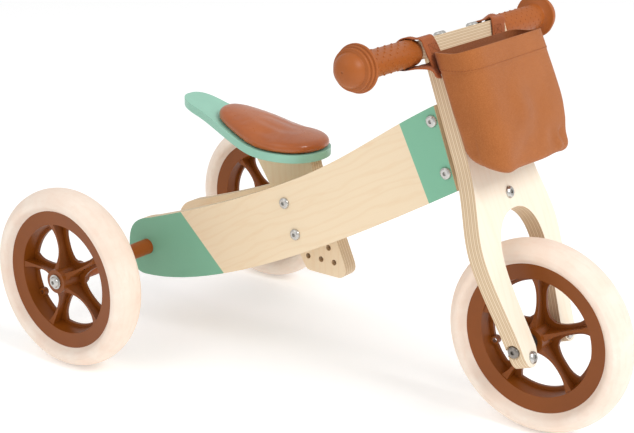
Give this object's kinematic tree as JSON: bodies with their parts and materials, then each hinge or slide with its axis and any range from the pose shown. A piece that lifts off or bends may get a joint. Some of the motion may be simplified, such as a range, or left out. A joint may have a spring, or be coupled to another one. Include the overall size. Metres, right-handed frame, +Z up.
{
  "type": "children's tricycle",
  "caption": "Low plywood children's tricycle with curved side boards, a bent seat with a cushion, foam-tyred spoked wheels, a steered fork plate and a cloth handlebar bag.",
  "frame": {"origin": "on the ground, half way between the front and rear axles, on the centre plane", "axes": "+X forward, +Y to the rider's left, +Z up"},
  "size_m": [0.69, 0.3934, 0.4088],
  "materials": {
    "plywood": "clear satin lacquer on light plywood",
    "mint_plywood": "mint green satin paint on plywood",
    "brown_plastic": "smooth satin moulded plastic",
    "brown_paint": "satin paint",
    "cream_foam": "smooth matte foam",
    "steel": "bright zinc plate",
    "dark_steel": "dark plated steel",
    "dark_nylon": "matte nylon",
    "grip_rubber": "matte moulded rubber",
    "leatherette": "soft satin leatherette",
    "canvas": "matte woven cloth"
  },
  "bodies": {
    "frame": {"side_board_right": "plywood", "side_board_left": "plywood", "axle_tube": "brown_paint", "rear_axle_rod": "steel", "head_block": "plywood", "head_bolts": "steel", "steering_bushes": "dark_nylon", "seat_post": "plywood", "post_spacers": "steel", "post_bolts": "steel", "post_nuts": "steel", "seat_board": "mint_plywood", "seat_screws": "steel", "seat_cushion": "leatherette", "rear_axle_bolts": "steel", "rear_axle_washers": "steel", "rear_thrust_washers": "steel"},
    "rear_wheel_right": {"rear_tyre_right": "cream_foam", "rear_rim_right": "brown_plastic", "rear_bushes_right": "dark_nylon"},
    "rear_wheel_left": {"rear_tyre_left": "cream_foam", "rear_rim_left": "brown_plastic", "rear_bushes_left": "dark_nylon"},
    "steering": {"fork_plate": "plywood", "upper_bracket": "steel", "lower_bracket": "steel", "steering_pin": "steel", "steering_pin_nut": "steel", "fork_bolts": "steel", "fork_nuts": "steel", "handlebar": "plywood", "handlebar_bolts": "steel", "barrel_nuts": "steel", "grip_right": "grip_rubber", "grip_left": "grip_rubber", "front_axle_rod": "steel", "front_axle_bolts": "dark_steel", "leg_screws": "steel", "front_spacers": "dark_nylon", "bag": "canvas", "bag_strap_right": "canvas", "bag_strap_left": "canvas"},
    "front_wheel": {"front_tyre": "cream_foam", "front_rim": "brown_plastic", "front_bushes": "dark_nylon"}
  },
  "joints": [
    {"name": "rear_wheel_right_spin", "type": "hinge", "parent": "frame", "child": "rear_wheel_right", "pos_m": [-0.245, -0.173, 0.1], "axis": [0, 1, 0], "continuous": true},
    {"name": "rear_wheel_left_spin", "type": "hinge", "parent": "frame", "child": "rear_wheel_left", "pos_m": [-0.245, 0.173, 0.1], "axis": [0, 1, 0], "continuous": true},
    {"name": "steering", "type": "hinge", "parent": "frame", "child": "steering", "pos_m": [0.22245, 0, 0.09179], "axis": [-0.342, 0, 0.9397], "range_deg": [-9, 9]},
    {"name": "front_wheel_spin", "type": "hinge", "parent": "steering", "child": "front_wheel", "pos_m": [0.245, 0, 0.1], "axis": [0, 1, 0], "continuous": true}
  ]
}
